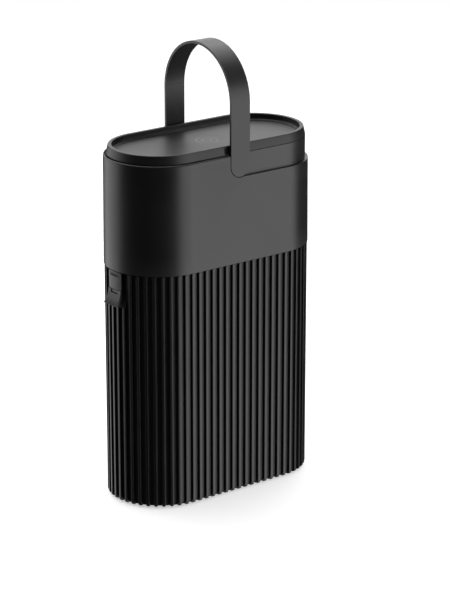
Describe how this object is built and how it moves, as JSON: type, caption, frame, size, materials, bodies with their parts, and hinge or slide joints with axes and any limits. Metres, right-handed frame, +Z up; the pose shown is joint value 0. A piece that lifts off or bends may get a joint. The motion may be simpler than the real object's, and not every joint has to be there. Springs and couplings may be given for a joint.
{
  "type": "capsule recycling container",
  "caption": "Tall stadium-shaped container for used coffee capsules: ribbed bin, latched smooth collar, lift-off tray lid, folding strap handle.",
  "frame": {"origin": "centre of the footprint, on the floor under the feet", "axes": "+X to the right along the length, towards the side on which the folded handle lies; -Y to the front, where the camera stands; +Z up"},
  "size_m": [0.2312, 0.106, 0.4397],
  "materials": {
    "bin_plastic": "satin, moulded ribs",
    "collar_plastic": "satin, fine moulded texture",
    "lid_plastic": "satin, fine moulded texture",
    "handle_plastic": "satin, fine moulded texture",
    "latch_plastic": "satin",
    "emblem_plastic": "satin inlay",
    "bush_plastic": "natural low-friction plastic",
    "foot_rubber": "matt",
    "seal_rubber": "matt",
    "steel": "bright"
  },
  "bodies": {
    "bin": {"bin": "bin_plastic", "feet": "foot_rubber", "bin_seal": "seal_rubber", "collar": "collar_plastic", "pivot_bushes": "bush_plastic", "thrust_washers": "bush_plastic", "latch_pins": "steel", "latch_springs": "steel"},
    "handle": {"handle": "handle_plastic", "pivot_washers": "steel", "pivot_screws": "steel"},
    "latch_left": {"latch_left": "latch_plastic"},
    "latch_right": {"latch_right": "latch_plastic"},
    "lid": {"lid": "lid_plastic", "lid_seal": "seal_rubber", "lid_emblem": "emblem_plastic"}
  },
  "joints": [
    {"name": "handle_fold", "type": "hinge", "parent": "bin", "child": "handle", "pos_m": [0, 0, 0.32915], "axis": [0, 1, 0], "range_deg": [0, 90]},
    {"name": "lid_lift", "type": "slide", "parent": "bin", "child": "lid", "axis": [0, 0, 1], "range_m": [0, 0.03]},
    {"name": "latch_left_turn", "type": "hinge", "parent": "bin", "child": "latch_left", "pos_m": [-0.1038, 0, 0.2385], "axis": [0, 1, 0], "range_deg": [0, 7], "stiffness_Nm_per_rad": 0.4, "springref_deg": -6.88},
    {"name": "latch_right_turn", "type": "hinge", "parent": "bin", "child": "latch_right", "pos_m": [0.1038, 0, 0.2385], "axis": [0, -1, 0], "range_deg": [0, 7], "stiffness_Nm_per_rad": 0.4, "springref_deg": -6.88}
  ]
}
